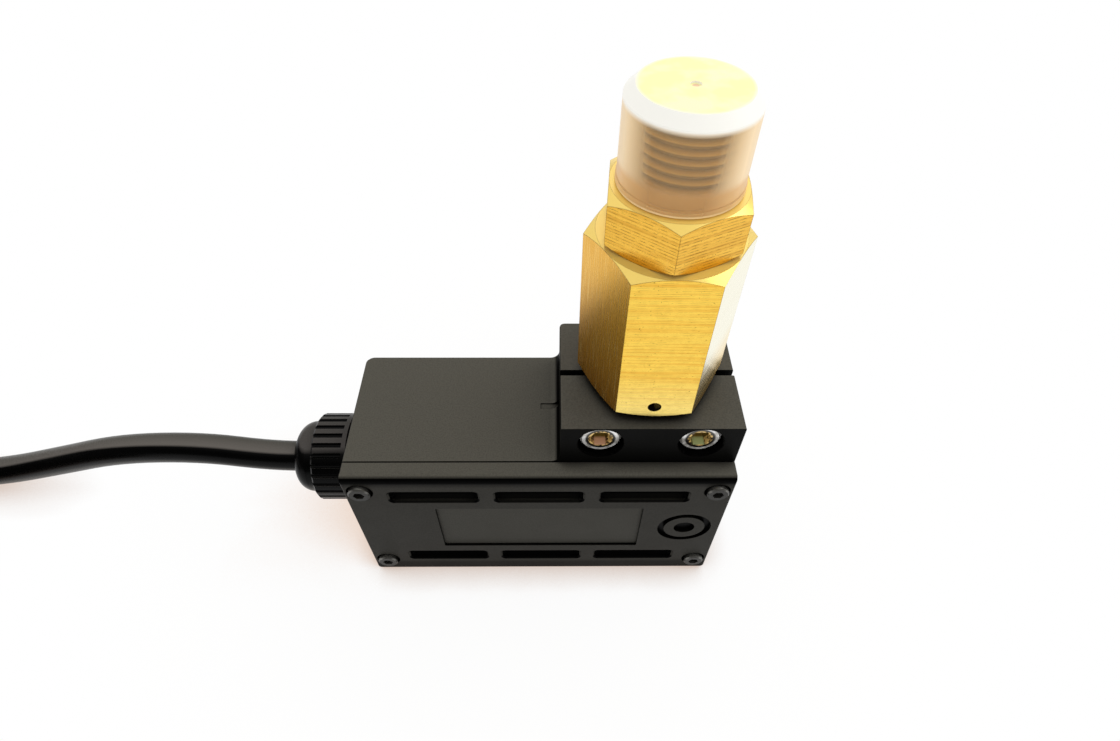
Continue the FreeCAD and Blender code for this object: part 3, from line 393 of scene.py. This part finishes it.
def machined_brass(name, flat_code, streak_code, pass_mm, pass_share, dull_above=1.0):
    """Bare brass: flats milled in level passes that tarnish browner, lathe-cut chamfers painted bright where
    they look up as painted light, faces that look down painted darker as shade, and painted shade along the
    corners.

    The left flat is drawn upright and painted darker as shade, darker towards its foot; the right one is
    washed pale by painted light, and the front of the long hexagon is painted brighter towards its foot.
    Above dull_above, a height in metres, lies the thread, dull, with painted shade darkening it towards its
    root. The vent near the foot of the long hexagon is painted black inside as shade.
    """
    # Heights between which the long hexagon's painted light brightens its front, painted shade darkens its
    # left flat, and painted light pales its right flat
    brightening = (80 * MM, 66 * MM)
    left_shade_heights = (64 * MM, 100 * MM)
    paling = (65 * MM, 84 * MM)
    vent_edge = (vent_r + 0.04 * MM, vent_r)
    vent_depths = (-9.0 * MM, -9.5 * MM)
    crest_to_root = (10.1 * MM, 9.4 * MM)
    relief_to_ridge = (121.0 * MM, 121.6 * MM)
    corner_width = 0.2 * MM
    # One wave of the texture is this part of its unit long
    wave_length = 0.314

    material, tree = new_material(name)
    place = object_place(tree)
    way = facing(tree)
    streaks = grain(tree, speck_mm=0.5, detail=4.0, stretch=(0.02, 0.02, 1.0))
    drawn = grain(tree, speck_mm=0.3, detail=2.0, stretch=(1.0, 1.0, 0.03))
    worn = grain(tree, speck_mm=1.4, detail=3.0)
    pits = grain(tree, speck_mm=0.32, detail=1.0)
    source = add(tree, "ShaderNodeTexCoord")
    passes = add(tree, "ShaderNodeTexWave", {
        "Vector": source.outputs["Object"],
        "Scale": wave_length / (pass_mm * MM),
        "Distortion": 1.2,
        "Detail": 2.0,
        "Detail Scale": 0.3}, bands_direction="Z")
    on_left = add(tree, "ShaderNodeMapRange", [way["X"], -0.55, -0.75])
    on_right = add(tree, "ShaderNodeMapRange", [way["X"], 0.5, 0.75])
    on_front = add(tree, "ShaderNodeMapRange", [way["Y"], -0.8, -0.95, 0.0, 0.8])
    turned_and_lit = add(tree, "ShaderNodeMapRange", [way["Z"], 0.3, 0.6])
    under = add(tree, "ShaderNodeMapRange", [way["Z"], -0.3, -0.6])

    # Milled flats: streaks, tarnished passes and pits, with painted light brightening the front towards its
    # foot
    streaked = add(tree, "ShaderNodeMapRange", [streaks, 0.55, 0.3])
    colour = add(tree, "ShaderNodeMix", [streaked, linear(flat_code), linear(streak_code)], data_type="RGBA")
    bright_foot = add(tree, "ShaderNodeMapRange", [place["Z"], *brightening, 0.0, on_front])
    colour = add(tree, "ShaderNodeMix", [bright_foot, colour, linear("#ffe88c")], data_type="RGBA")
    tarnished = add(tree, "ShaderNodeMapRange", [worn, 0.4, 0.6, 0.0, pass_share])
    scored = add(tree, "ShaderNodeMapRange", [passes.outputs["Fac"], 0.2, 0.02, 0.0, tarnished])
    colour = add(tree, "ShaderNodeMix", [scored, colour, linear("#7c5214")], data_type="RGBA")
    pitted = add(tree, "ShaderNodeMapRange", [pits, 0.29, 0.24, 0.0, 0.7])
    colour = add(tree, "ShaderNodeMix", [pitted, colour, linear("#5a3a0e")], data_type="RGBA")

    # Drawn left flat in painted shade, darker towards its foot, and right flat washed pale by painted light
    height = add(tree, "ShaderNodeMapRange", [place["Z"], *left_shade_heights])
    left = add(tree, "ShaderNodeMix", [height, linear("#a46c08"), linear("#eeb43a")], data_type="RGBA")
    bright_lines = add(tree, "ShaderNodeMapRange", [drawn, 0.55, 0.7, 0.0, 0.4])
    left = add(tree, "ShaderNodeMix", [bright_lines, left, linear("#ffdc88")], data_type="RGBA")
    colour = add(tree, "ShaderNodeMix", [on_left, colour, left], data_type="RGBA")
    washed = add(tree, "ShaderNodeMapRange", [place["Z"], *paling, 0.0, on_right])
    colour = add(tree, "ShaderNodeMix", [washed, colour, linear("#fffbe4")], data_type="RGBA")

    # Lathe-cut chamfers above and below: painted light where they look up, painted shade where they look
    # down; and painted shade along the corners
    colour = add(tree, "ShaderNodeMix", [turned_and_lit, colour, linear("#ffdf78")], data_type="RGBA")
    colour = add(tree, "ShaderNodeMix", [under, colour, linear("#a06a20")], data_type="RGBA")
    rounded = add(tree, "ShaderNodeBevel", {"Radius": corner_width}, samples=6)
    surface = add(tree, "ShaderNodeNewGeometry")
    even = add(tree, "ShaderNodeVectorMath", [rounded, surface.outputs["Normal"]], operation="DOT_PRODUCT")
    corner = add(tree, "ShaderNodeMapRange", [even, 0.996, 0.965, 0.0, 0.75])
    colour = add(tree, "ShaderNodeMix", [corner, colour, linear("#4a2c08")], data_type="RGBA")

    # Vent painted black inside as shade, and thread painted darker towards its root as shade
    vent = add(tree, "ShaderNodeMapRange", [apart(tree, place["X"], vent_x, place["Z"], vent_z), *vent_edge])
    vent = add(tree, "ShaderNodeMapRange", [place["Y"], *vent_depths, 0.0, vent])
    colour = add(tree, "ShaderNodeMix", [vent, colour, linear("#080402")], data_type="RGBA")
    dull = add(tree, "ShaderNodeMapRange", [place["Z"], dull_above - 0.1 * MM, dull_above + 0.1 * MM])
    root = add(tree, "ShaderNodeMapRange", [apart(tree, place["X"], 0.0, place["Y"], 0.0), *crest_to_root])
    root = add(tree, "ShaderNodeMapRange", [place["Z"], *relief_to_ridge, 0.0, root])
    thread = add(tree, "ShaderNodeMix", [root, linear("#d6ac56"), linear("#8c6a30")], data_type="RGBA")
    colour = add(tree, "ShaderNodeMix", [dull, colour, thread], data_type="RGBA")

    still = add(tree, "ShaderNodeMath", [dull, vent], operation="MAXIMUM")
    level_metal = add(tree, "ShaderNodeMapRange", [way["Z"], 0.85, 0.97, 0.75, 0.3])
    metallic = add(tree, "ShaderNodeMix", [on_left, 1.0, 0.8], data_type="FLOAT")
    metallic = add(tree, "ShaderNodeMix", [turned_and_lit, metallic, level_metal], data_type="FLOAT")
    metallic = add(tree, "ShaderNodeMix", [still, metallic, 0.4], data_type="FLOAT")
    lines = add(tree, "ShaderNodeMix", [on_left, streaks, drawn], data_type="FLOAT")
    roughness = add(tree, "ShaderNodeMapRange", [lines, 0.3, 0.7, 0.31, 0.23])
    roughness = add(tree, "ShaderNodeMix", [turned_and_lit, roughness, 0.26], data_type="FLOAT")
    roughness = add(tree, "ShaderNodeMix", [still, roughness, 0.55], data_type="FLOAT")
    furrows = add(tree, "ShaderNodeMapRange", [turned_and_lit, 1.0, 0.0, 0.0, lines])
    shader = add(tree, "ShaderNodeBsdfPrincipled", {
        "Base Color": colour,
        "Metallic": metallic,
        "Roughness": roughness,
        "Normal": add(tree, "ShaderNodeBump", {"Height": furrows, "Distance": 0.004 * MM, "Strength": 0.25})})
    add(tree, "ShaderNodeOutputMaterial", {"Surface": shader})
    return material


def passivated_zinc(name):
    """Bright zinc under thin passivation, a gold socket and a greener one, with painted light: silvery rims
    as a painted highlight, dark dished faces, socket walls that look up painted paler and socket floors
    painted dark as shade.
    """
    left_to_right = (-2 * MM, 2 * MM)
    wall_to_floor = (screw_face + 1.95 * MM, screw_face + 2.65 * MM)
    dish_to_rim = (3.4 * MM, 3.8 * MM)
    face_to_socket = (3.1 * MM, 2.8 * MM)
    nuts_to_heads = (-2.0 * MM, -6.0 * MM)

    material, tree = new_material(name)
    place = object_place(tree)
    way = facing(tree)
    reach = from_clamp_screw(tree, place)
    mottle = add(tree, "ShaderNodeMapRange", [grain(tree, speck_mm=0.9, detail=1.0), 0.42, 0.58])
    gold = add(tree, "ShaderNodeMix", [mottle, linear("#3a2a12"), linear("#f0cc80")], data_type="RGBA")
    side = add(tree, "ShaderNodeMapRange", [place["X"], *left_to_right])
    film_light_and_shade = add(tree, "ShaderNodeMix", [side, linear("#ffc8a4"), linear("#cfe0a0")], data_type="RGBA")
    # Painted light in the sockets: walls that look up take the pale passivation colour, the others mottled
    # gold
    level = add(tree, "ShaderNodeMapRange", [way["Z"], 0.6, 0.9])
    film_light_and_shade = add(tree, "ShaderNodeMix", [level, gold, film_light_and_shade], data_type="RGBA")
    # Painted shade: the socket's floor is dark olive
    deep = add(tree, "ShaderNodeMapRange", [place["Y"], *wall_to_floor])
    film_light_and_shade = add(tree, "ShaderNodeMix", [deep, film_light_and_shade, linear("#8a7434")], data_type="RGBA")
    # Painted highlight: the rims are a patchy, near-white silvery colour, and the dished faces inside them
    # dark grey
    patchy = add(tree, "ShaderNodeMapRange", [grain(tree, speck_mm=1.8, detail=1.0), 0.4, 0.55])
    silver_highlight = add(tree, "ShaderNodeMix", [patchy, linear("#c4c2be"), linear("#ffffff")], data_type="RGBA")
    rim = add(tree, "ShaderNodeMapRange", [reach, *dish_to_rim])
    face = add(tree, "ShaderNodeMix", [rim, linear("#4a4844"), silver_highlight], data_type="RGBA")
    socket = add(tree, "ShaderNodeMapRange", [reach, *face_to_socket])
    socket = add(tree, "ShaderNodeMapRange", [place["Y"], *nuts_to_heads, 0.0, socket])
    metallic = add(tree, "ShaderNodeMix", [rim, 1.0, 0.6], data_type="FLOAT")
    shader = add(tree, "ShaderNodeBsdfPrincipled", {
        "Base Color": add(tree, "ShaderNodeMix", [socket, face, film_light_and_shade], data_type="RGBA"),
        "Metallic": add(tree, "ShaderNodeMix", [socket, metallic, 0.2], data_type="FLOAT"),
        "Roughness": 0.16})
    add(tree, "ShaderNodeOutputMaterial", {"Surface": shader})
    return material


def natural_polyethylene(name):
    """Unpigmented polyethylene: a waxy wall that shows the thread, milkier edge on, at foot and end, with a
    painted tint of the brass seen through it at the foot and on the end face.
    """
    thread_to_foot = (thread_start + 0.9 * MM, thread_start - 0.5 * MM)
    wall_to_disc = (thread_end - 1.4 * MM, thread_end - 0.4 * MM)
    wall_to_lip = (cap_foot + 0.5 * MM, cap_foot + 0.3 * MM)
    bevel_to_end = (10.3 * MM, 9.3 * MM)
    end_to_gate = (0.75 * MM, 0.55 * MM)

    material, tree = new_material(name)
    place = object_place(tree)
    level = facing(tree)["Z"]
    reach = apart(tree, place["X"], 0.0, place["Y"], 0.0)
    foot = add(tree, "ShaderNodeMapRange", [place["Z"], *thread_to_foot])
    disc = add(tree, "ShaderNodeMapRange", [place["Z"], *wall_to_disc])
    lip = add(tree, "ShaderNodeMapRange", [place["Z"], *wall_to_lip])
    gate = add(tree, "ShaderNodeMapRange", [reach, *end_to_gate, 0.0, disc])
    end_face = add(tree, "ShaderNodeMapRange", [level, 0.9, 0.97, 0.0, disc])
    end_face = add(tree, "ShaderNodeMapRange", [reach, *bevel_to_end, 0.0, end_face])
    flow = add(tree, "ShaderNodeMapRange", [grain(tree, speck_mm=5.0, detail=2.0), 0.42, 0.62])
    # Painted tint of the brass end seen through: the end face is pale yellow, with flow marks
    end_colour = add(tree, "ShaderNodeMix", [flow, linear("#fffbb6"), linear("#fff6cc")], data_type="RGBA")
    # Painted tint of the brass seen through: the foot is peach
    colour = add(tree, "ShaderNodeMix", [foot, linear("#ffe6bc"), linear("#eec48a")], data_type="RGBA")
    colour = add(tree, "ShaderNodeMix", [disc, colour, linear("#fffffa")], data_type="RGBA")
    colour = add(tree, "ShaderNodeMix", [lip, colour, linear("#ffe6b4")], data_type="RGBA")
    colour = add(tree, "ShaderNodeMix", [end_face, colour, end_colour], data_type="RGBA")
    colour = add(tree, "ShaderNodeMix", [gate, colour, linear("#f0c8a4")], data_type="RGBA")
    # The wall is thicker to the eye towards its outline, so less shows through it there
    outline = add(tree, "ShaderNodeLayerWeight", {"Blend": 0.5}).outputs["Facing"]
    edge_on = add(tree, "ShaderNodeMapRange", [outline, 0.26, 0.66])
    clearness = add(tree, "ShaderNodeMix", [foot, 0.87, 0.66], data_type="FLOAT")
    for share, milky_clearness in ((edge_on, 0.1), (lip, 0.3), (disc, 0.02)):
        clearness = add(tree, "ShaderNodeMix", [share, clearness, milky_clearness], data_type="FLOAT")
    milk = add(tree, "ShaderNodeBsdfPrincipled", {
        "Base Color": colour,
        "Roughness": 0.35,
        "Specular IOR Level": 0.35})
    clear = add(tree, "ShaderNodeBsdfTransparent", {"Color": linear("#fffaf0")})
    shader = add(tree, "ShaderNodeMixShader", [clearness, milk, clear])
    add(tree, "ShaderNodeOutputMaterial", {"Surface": shader})
    return material


def core_insulation(name):
    """PVC of the three cores at the cable's end: brown for the upper one, black and blue for the pair."""
    pair_way = (-0.5916, 1.0, 0.0)
    black_to_blue = (157.8 * MM, 157.9 * MM)
    pair_to_upper = (23.18 * MM, 23.22 * MM)

    material, tree = new_material(name)
    place = add(tree, "ShaderNodeTexCoord").outputs["Object"]
    aside = add(tree, "ShaderNodeVectorMath", [place, pair_way], operation="DOT_PRODUCT")
    blue = add(tree, "ShaderNodeMapRange", [aside, *black_to_blue])
    pair = add(tree, "ShaderNodeMix", [blue, linear("#1d1d1d"), linear("#2f5f9c")], data_type="RGBA")
    upper = add(tree, "ShaderNodeMapRange", [object_place(tree)["Z"], *pair_to_upper])
    shader = add(tree, "ShaderNodeBsdfPrincipled", {
        "Base Color": add(tree, "ShaderNodeMix", [upper, pair, linear("#6b3f22")], data_type="RGBA"),
        "Roughness": 0.35})
    add(tree, "ShaderNodeOutputMaterial", {"Surface": shader})
    return material


# Finish of every CAD piece
# The two colours given to smooth_polymer, here and for the gland, are those of its painted highlight band,
# near and far
cable_pvc = smooth_polymer("cable_pvc", "#605c58", "#3a3933")
adapter_brass = machined_brass("adapter_brass", "#f8c452", "#dca43e", pass_mm=0.69, pass_share=0.75,
                               dull_above=adapter_hexagon_top + 0.2 * MM)
body_brass = machined_brass("body_brass", "#ffd65c", "#f6be48", pass_mm=0.45, pass_share=0.45)
seals = ["cover_gasket", "gland_washer", "gland_seal", "neck_o_ring", "adapter_o_ring", "piston_o_ring"]
gland_pieces = ["gland_body", "gland_nut", "gland_locknut", "coil_tie"]
finishes = [
    # The nylon's front colours are painted: the housing's front darker than its sides as painted shade, the
    # cover's front paler as a painted reflection
    (moulded_nylon("housing_nylon", "#0a0a09", bores=True), ["housing"]),
    (moulded_nylon("cover_nylon", "#33322f", cover=True), ["front_cover"]),
    (smooth_polymer("gland_nylon", "#474442", "#3a3835", flutes=True), gland_pieces),
    (plain("rubber", "#121212", 0.7, specular=0.3), seals),
    (oiled_black_steel("black_oxide_steel"), ["cover_screws"]),
    (passivated_zinc("zinc"), ["clamp_screws", "clamp_nuts", "switch_screws"]),
    (body_brass, ["pressure_body"]),
    (adapter_brass, ["inlet_adapter"]),
    (plain("insert_brass", "#d9b04e", 0.3, metallic=1.0), ["cover_inserts"]),
    (plain("bronze", "#a5713c", 0.45, metallic=1.0), ["stem_bush"]),
    (plain("stainless", "#c4c3c0", 0.22, metallic=1.0), ["piston", "push_stem", "spring_seat"]),
    (plain("spring_steel", "#9a9995", 0.3, metallic=1.0), ["pressure_spring"]),
    (plain("ptfe", "#efefec", 0.5), ["backup_ring"]),
    (natural_polyethylene("polyethylene"), ["thread_cap"]),
    (plain("switch_plastic", "#2a2a2a", 0.35), ["switch_case"]),
    (plain("red_nylon", "#b02418", 0.4), ["switch_plunger"]),
    (plain("tin_plate", "#d8d7d2", 0.25, metallic=1.0), ["switch_blades", "end_ferrules"]),
    (plain("soft_sleeve", "#dedcd4", 0.45), ["blade_sleeves"]),
    (cable_pvc, ["cable_sheath"]),
    (plain("brown_pvc", "#6b3f22", 0.35), ["lead_brown"]),
    (plain("black_pvc", "#1d1d1d", 0.35), ["lead_black"]),
    (plain("blue_pvc", "#2f5f9c", 0.35), ["lead_blue"]),
    (core_insulation("core_pvc"), ["end_cores"]),
]
for finish, worn_by in finishes:
    for node_name in worn_by:
        mesh = nodes[node_name].data
        mesh.materials.clear()
        mesh.materials.append(finish)
cable.data.materials.append(cable_pvc)


# Inlet adapter with its real thread: a core cut down to the thread's root, and the ridge wound on it
def make_thread_core():
    mesh = nodes["inlet_adapter"].data.copy()
    mesh.name = "adapter_core"
    tolerance = 0.02 * MM
    for vertex in mesh.vertices:
        radius = math.hypot(vertex.co.x, vertex.co.y)
        on_thread = thread_start - tolerance < vertex.co.z < thread_end + tolerance
        if on_thread and radius > thread_root_r:
            vertex.co.x *= thread_root_r / radius
            vertex.co.y *= thread_root_r / radius
    core = bpy.data.objects.new("adapter_core", mesh)
    scene.collection.objects.link(core)
    return core


def thread_tree():
    """Ridge of a screw thread about Z: a right-hand spiral, swept by a triangle with round corners."""
    steps_per_turn = 96
    section_sides = 3
    tree = bpy.data.node_groups.new("wound_thread", "GeometryNodeTree")
    for name in ("Radius", "Pitch", "Turns", "Section", "Crest", "Foot"):
        tree.interface.new_socket(name, in_out="INPUT", socket_type="NodeSocketFloat")
    tree.interface.new_socket("Material", in_out="INPUT", socket_type="NodeSocketMaterial")
    tree.interface.new_socket("Geometry", in_out="OUTPUT", socket_type="NodeSocketGeometry")
    given = add(tree, "NodeGroupInput").outputs
    spiral = add(tree, "GeometryNodeCurveSpiral", {
        "Resolution": steps_per_turn,
        "Rotations": given["Turns"],
        "Start Radius": given["Radius"],
        "End Radius": given["Radius"],
        "Height": add(tree, "ShaderNodeMath", [given["Pitch"], given["Turns"]], operation="MULTIPLY")})
    lift = add(tree, "ShaderNodeCombineXYZ", {"Z": given["Foot"]})
    lifted = add(tree, "GeometryNodeTransform", {"Geometry": spiral, "Translation": lift})
    level = add(tree, "GeometryNodeSetCurveNormal", {"Curve": lifted}, mode="Z_UP")
    triangle = add(tree, "GeometryNodeCurvePrimitiveCircle", {
        "Resolution": section_sides, "Radius": given["Section"]})
    outwards = add(tree, "GeometryNodeTransform", {"Geometry": triangle, "Rotation": (0, 0, math.pi)})
    section = add(tree, "GeometryNodeFilletCurve", {"Curve": outwards, "Radius": given["Crest"]})
    swept = add(tree, "GeometryNodeCurveToMesh", {
        "Curve": level, "Profile Curve": section, "Fill Caps": True})
    real = add(tree, "GeometryNodeRealizeInstances", {"Geometry": swept})
    dressed = add(tree, "GeometryNodeSetMaterial", {"Geometry": real, "Material": given["Material"]})
    add(tree, "NodeGroupOutput", {"Geometry": dressed})
    return tree


def grown(name, tree, sizes):
    """Plain mesh object grown by a node tree from the given sizes."""
    seed = bpy.data.objects.new(name, bpy.data.meshes.new(name))
    scene.collection.objects.link(seed)
    grower = seed.modifiers.new(name, "NODES")
    grower.node_group = tree
    for socket in tree.interface.items_tree:
        if socket.in_out == "INPUT":
            grower[socket.identifier] = sizes[socket.name]
    evaluated = seed.evaluated_get(bpy.context.evaluated_depsgraph_get())
    mesh = bpy.data.meshes.new_from_object(evaluated)
    seed.modifiers.clear()
    seed.data = mesh
    return seed


# The section is drawn in a circle of this radius, and the ridge stops a little short of the thread's bevel
section_r = 1.0 * MM
crest_round_r = 0.12 * MM
turns_left_out = 0.1
ridge_height = thread_end - thread_bevel - thread_start + thread_run_out
thread_ridge = grown("thread_ridge", thread_tree(), {
    "Radius": thread_r - section_r,
    "Pitch": thread_pitch,
    "Turns": ridge_height / thread_pitch - turns_left_out,
    "Section": section_r,
    "Crest": crest_round_r,
    "Foot": thread_start - thread_run_out,
    "Material": adapter_brass})
for polygon in thread_ridge.data.polygons:
    polygon.use_smooth = True
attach(thread_ridge, "sensor_body")
adapter_core = make_thread_core()
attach(adapter_core, "sensor_body")
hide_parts("inlet_adapter")


def pale_floor():
    """Pale matt floor, nearly all its own light where it is seen directly or in gloss, so it stays white.

    Near the object it keeps a little of the real shadow, and a warm shade where the object stands close.
    """
    object_middle = (-27 * MM, 0.0, 0.0)
    near_to_far = (70 * MM, 140 * MM)
    own_light_near = 0.93
    contact_reach = 14 * MM
    lee_reach = 50 * MM
    # Light comes mostly from the right, so what stands to the right of a spot shades it further off
    light_way = {"X": 0.85, "Y": -0.3, "Z": 0.43}

    material, tree = new_material("pale_floor")
    rays = add(tree, "ShaderNodeLightPath").outputs
    seen = rays["Is Camera Ray"]
    for other in (rays["Is Glossy Ray"], rays["Is Transmission Ray"]):
        seen = add(tree, "ShaderNodeMath", [seen, other], operation="MAXIMUM")
    source = add(tree, "ShaderNodeTexCoord")
    reach = add(tree, "ShaderNodeVectorMath", [source.outputs["Object"], object_middle], operation="DISTANCE")
    own_light = add(tree, "ShaderNodeMapRange", [reach, *near_to_far, own_light_near, 1.0])
    share = add(tree, "ShaderNodeMath", [seen, own_light], operation="MULTIPLY")
    contact = add(tree, "ShaderNodeAmbientOcclusion", {"Distance": contact_reach}, samples=8)
    lee = add(tree, "ShaderNodeAmbientOcclusion", {
        "Distance": lee_reach, "Normal": add(tree, "ShaderNodeCombineXYZ", light_way)}, samples=8)
    in_light = add(tree, "ShaderNodeMapRange", [lee.outputs["AO"], 0.3, 0.75])
    tint = add(tree, "ShaderNodeMix", [in_light, linear("#e8c8b0"), linear("#ffffff")], data_type="RGBA")
    in_open = add(tree, "ShaderNodeMapRange", [contact.outputs["AO"], 0.35, 0.85])
    tint = add(tree, "ShaderNodeMix", [in_open, linear("#ccb6a8"), tint], data_type="RGBA")
    matt = add(tree, "ShaderNodeBsdfDiffuse", {"Color": linear("#fdfcfa")})
    glow = add(tree, "ShaderNodeEmission", {"Color": tint, "Strength": 1.0})
    add(tree, "ShaderNodeOutputMaterial", {"Surface": add(tree, "ShaderNodeMixShader", [share, matt, glow])})
    return material


floor_size = 6.0
bpy.ops.mesh.primitive_plane_add(size=floor_size)
floor = bpy.context.object
floor.name = "floor"
floor.data.materials.append(pale_floor())


def studio_world():
    """World, white behind the object; in gloss it is bright above and behind, dim on the camera's side."""
    bright_way = (0.15, 0.5, 0.85)
    dim_level = 0.08
    plain_level = 0.9
    # A slightly warm white, linear
    light_colour = (1, 0.985, 0.96, 1)

    world = bpy.data.worlds.new("studio")
    world.use_nodes = True
    tree = world.node_tree
    tree.nodes.clear()
    rays = add(tree, "ShaderNodeLightPath").outputs
    way = add(tree, "ShaderNodeTexCoord").outputs["Generated"]
    towards = add(tree, "ShaderNodeVectorMath", [way, bright_way], operation="DOT_PRODUCT")
    level = add(tree, "ShaderNodeMapRange", [towards, 0.1, 0.6, dim_level, plain_level])
    strength = add(tree, "ShaderNodeMix", [rays["Is Glossy Ray"], plain_level, level], data_type="FLOAT")
    dome = add(tree, "ShaderNodeBackground", {"Color": light_colour, "Strength": strength})
    white = add(tree, "ShaderNodeBackground", {"Color": linear("#ffffff"), "Strength": 1.0})
    sight = [rays["Is Camera Ray"], rays["Is Transmission Ray"]]
    seen = add(tree, "ShaderNodeMath", sight, operation="MAXIMUM")
    add(tree, "ShaderNodeOutputWorld", {"Surface": add(tree, "ShaderNodeMixShader", [seen, dome, white])})
    return world


scene.world = studio_world()


def soft_lamp(name, place, target, size, watts):
    lamp = bpy.data.lights.new(name, "AREA")
    lamp.size = size
    lamp.energy = watts
    made = bpy.data.objects.new(name, lamp)
    made.location = place
    made.rotation_euler = (Vector(target) - Vector(place)).to_track_quat("-Z", "Y").to_euler()
    scene.collection.objects.link(made)


soft_lamp("lamp_right", place=(0.45, 0.15, 0.6), target=(0, 0, 0.06), size=0.4, watts=0.9)
soft_lamp("lamp_above", place=(0.0, 0.55, 0.75), target=(-0.03, 0, 0.05), size=0.7, watts=0.8)
